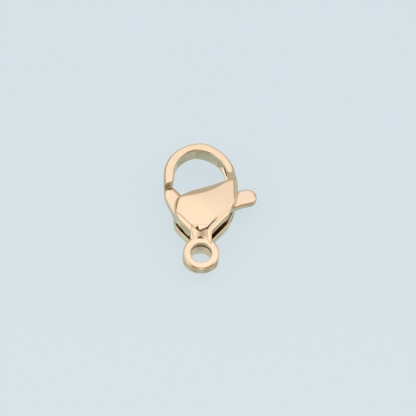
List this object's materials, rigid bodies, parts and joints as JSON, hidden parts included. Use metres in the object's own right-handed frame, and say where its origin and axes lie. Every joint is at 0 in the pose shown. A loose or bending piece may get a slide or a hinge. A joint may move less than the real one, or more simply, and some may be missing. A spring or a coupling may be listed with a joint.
{
  "type": "lobster clasp",
  "caption": "Small lobster clasp: a slotted body with an eye and a hooked loop, closed by a sprung lever that ends in a thumb tab.",
  "frame": {"origin": "middle of the eye's hole, halfway between the front and the back", "axes": "+Y from the eye to the loop, +X towards the thumb tab, +Z out of the front"},
  "size_m": [0.0075, 0.0119, 0.0028],
  "materials": {
    "body_metal": "mirror-polished stainless steel with a rose gold coating",
    "lever_metal": "mirror-polished stainless steel with a rose gold coating",
    "pin_metal": "polished flush with the panels, rose gold coating",
    "spring_wire": "bright drawn wire"
  },
  "bodies": {
    "clasp_body": {"body": "body_metal", "pivot_pin": "pin_metal", "spring": "spring_wire"},
    "clasp_lever": {"lever": "lever_metal"}
  },
  "joints": [
    {"name": "lever_swing", "type": "hinge", "parent": "clasp_body", "child": "clasp_lever", "pos_m": [-0.00075, 0.00275, 0], "axis": [0, 0, -1], "range_deg": [0, 30], "stiffness_Nm_per_rad": 0.008, "springref_deg": -22.92}
  ]
}
